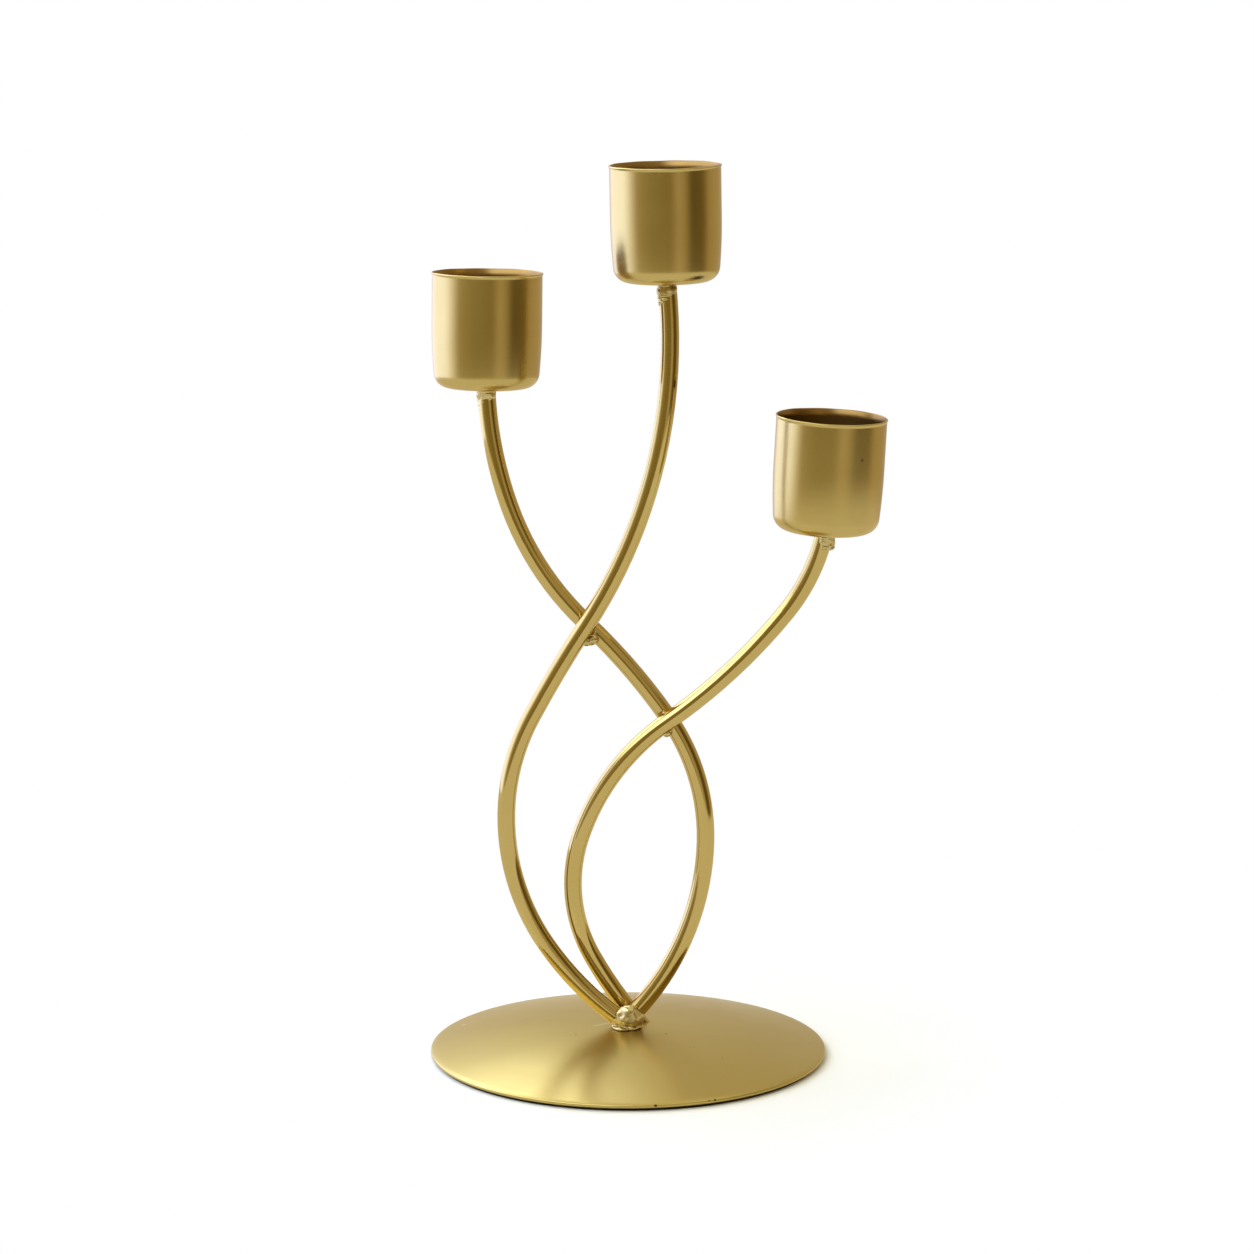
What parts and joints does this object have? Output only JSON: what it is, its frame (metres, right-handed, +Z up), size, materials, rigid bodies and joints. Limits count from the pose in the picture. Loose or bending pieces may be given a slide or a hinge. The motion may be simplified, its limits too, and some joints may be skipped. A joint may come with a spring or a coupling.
{
  "type": "table candelabra",
  "caption": "Table candelabra of bent wire arms that cross and are welded together, with thin open candle cups on their tips and a shallow domed round base.",
  "frame": {"origin": "centre of the round base, on the plane of the table", "axes": "+Z up; +X to the right and -Y towards the viewer in the picture, so the arms spread along X"},
  "size_m": [0.1137, 0.1, 0.225],
  "materials": {
    "base_paint": "satin gold metallic paint on pressed steel sheet",
    "arm_paint": "satin gold metallic paint on bent steel wire",
    "cup_paint": "satin gold metallic paint on pressed steel cups",
    "weld_paint": "gold metallic paint over rough weld metal"
  },
  "bodies": {
    "root": {"base_plate": "base_paint", "left_arm": "arm_paint", "centre_arm": "arm_paint", "right_arm": "arm_paint", "left_cup": "cup_paint", "centre_cup": "cup_paint", "right_cup": "cup_paint", "base_weld": "weld_paint", "upper_crossing_weld": "weld_paint", "lower_crossing_weld": "weld_paint", "left_cup_weld": "weld_paint", "centre_cup_weld": "weld_paint", "right_cup_weld": "weld_paint"}
  },
  "joints": []
}
